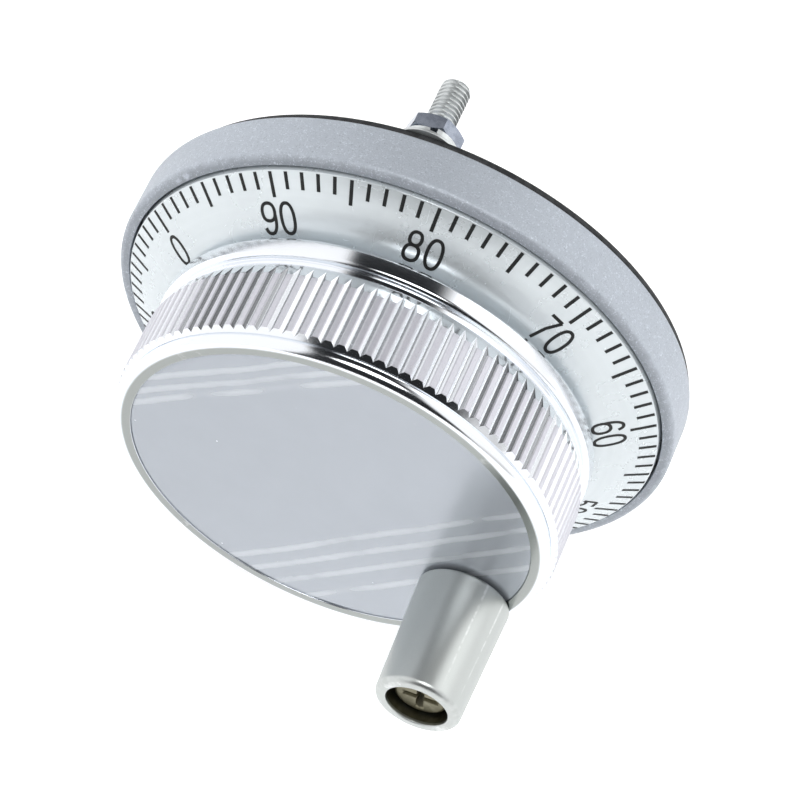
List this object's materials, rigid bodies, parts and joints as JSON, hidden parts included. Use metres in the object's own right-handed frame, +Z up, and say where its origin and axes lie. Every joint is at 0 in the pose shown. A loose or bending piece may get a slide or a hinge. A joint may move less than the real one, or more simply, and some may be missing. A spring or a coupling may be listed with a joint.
{
  "type": "manual pulse generator",
  "caption": "Panel-mount electronic handwheel: round flange with a conical graduated dial, a knurled knob with a face plate, and a free-turning crank grip.",
  "frame": {"origin": "centre of the panel gasket's rear face, on the spindle's axis, in the plane of the panel's front", "axes": "-Y along the spindle towards the operator, +Y into the panel, +Z up through the stud at 12 o'clock, +X to the operator's right"},
  "size_m": [0.08, 0.0617, 0.0805],
  "materials": {
    "satin_aluminium": "bead-blasted satin anodised",
    "dial_anodised": "matt clear anodised, printed marks",
    "knob_bright": "bright turned with a knurled band",
    "plate_gloss": "smooth anodised under a clear film",
    "grip_aluminium": "fine turned satin",
    "zinc_steel": "zinc plated",
    "bright_steel": "polished",
    "bearing_steel": "ground",
    "dark_steel": "oiled black oxide",
    "gasket_rubber": "smooth black sheet",
    "black_plastic": "fine moulded texture",
    "green_plastic": "moulded",
    "board_laminate": "solder mask over glass laminate",
    "brass_spacer": "turned",
    "magnet_ferrite": "ground ferrite",
    "disc_glass": "clear with a printed code track",
    "nylon_washer": "natural"
  },
  "bodies": {
    "housing": {"flange": "satin_aluminium", "gasket": "gasket_rubber", "mounting_studs": "zinc_steel", "flat_washers": "zinc_steel", "spring_washers": "zinc_steel", "hex_nuts": "bright_steel", "bearing_carrier": "satin_aluminium", "carrier_screws": "dark_steel", "front_outer_race": "bearing_steel", "rear_outer_race": "bearing_steel", "housing_circlip": "dark_steel", "magnet_bracket": "zinc_steel", "bracket_screw": "dark_steel", "detent_magnet": "magnet_ferrite", "circuit_board": "board_laminate", "board_spacers": "brass_spacer", "optical_reader": "black_plastic", "terminal_block": "green_plastic", "terminal_screws": "zinc_steel", "rear_cover": "black_plastic", "cover_screws": "zinc_steel"},
    "ball_cages": {"front_ball_set": "bearing_steel", "rear_ball_set": "bearing_steel"},
    "wheel": {"spindle": "bearing_steel", "front_inner_race": "bearing_steel", "rear_inner_race": "bearing_steel", "race_spacer": "zinc_steel", "spindle_circlip": "dark_steel", "detent_rotor": "zinc_steel", "code_hub": "satin_aluminium", "code_disc": "disc_glass", "hub_set_screw": "dark_steel", "knob_shell": "knob_bright", "knob_screw": "zinc_steel", "face_plate": "plate_gloss", "dial_ring": "dial_anodised", "dial_screws": "dark_steel", "crank_screw": "zinc_steel", "grip_washer": "nylon_washer"},
    "grip": {"crank_grip": "grip_aluminium"}
  },
  "joints": [
    {"name": "wheel_spin", "type": "hinge", "parent": "housing", "child": "wheel", "pos_m": [0, -0.01, 0], "axis": [0, 1, 0], "continuous": true},
    {"name": "grip_spin", "type": "hinge", "parent": "wheel", "child": "grip", "pos_m": [0.02006, -0.04, -0.01353], "axis": [0, 1, 0], "continuous": true},
    {"name": "cage_spin", "type": "hinge", "parent": "housing", "child": "ball_cages", "pos_m": [0, -0.01, 0], "axis": [0, 1, 0], "continuous": true}
  ],
  "couplings": [
    {"joint": "cage_spin", "follows": "wheel_spin", "ratio": 0.3864}
  ]
}
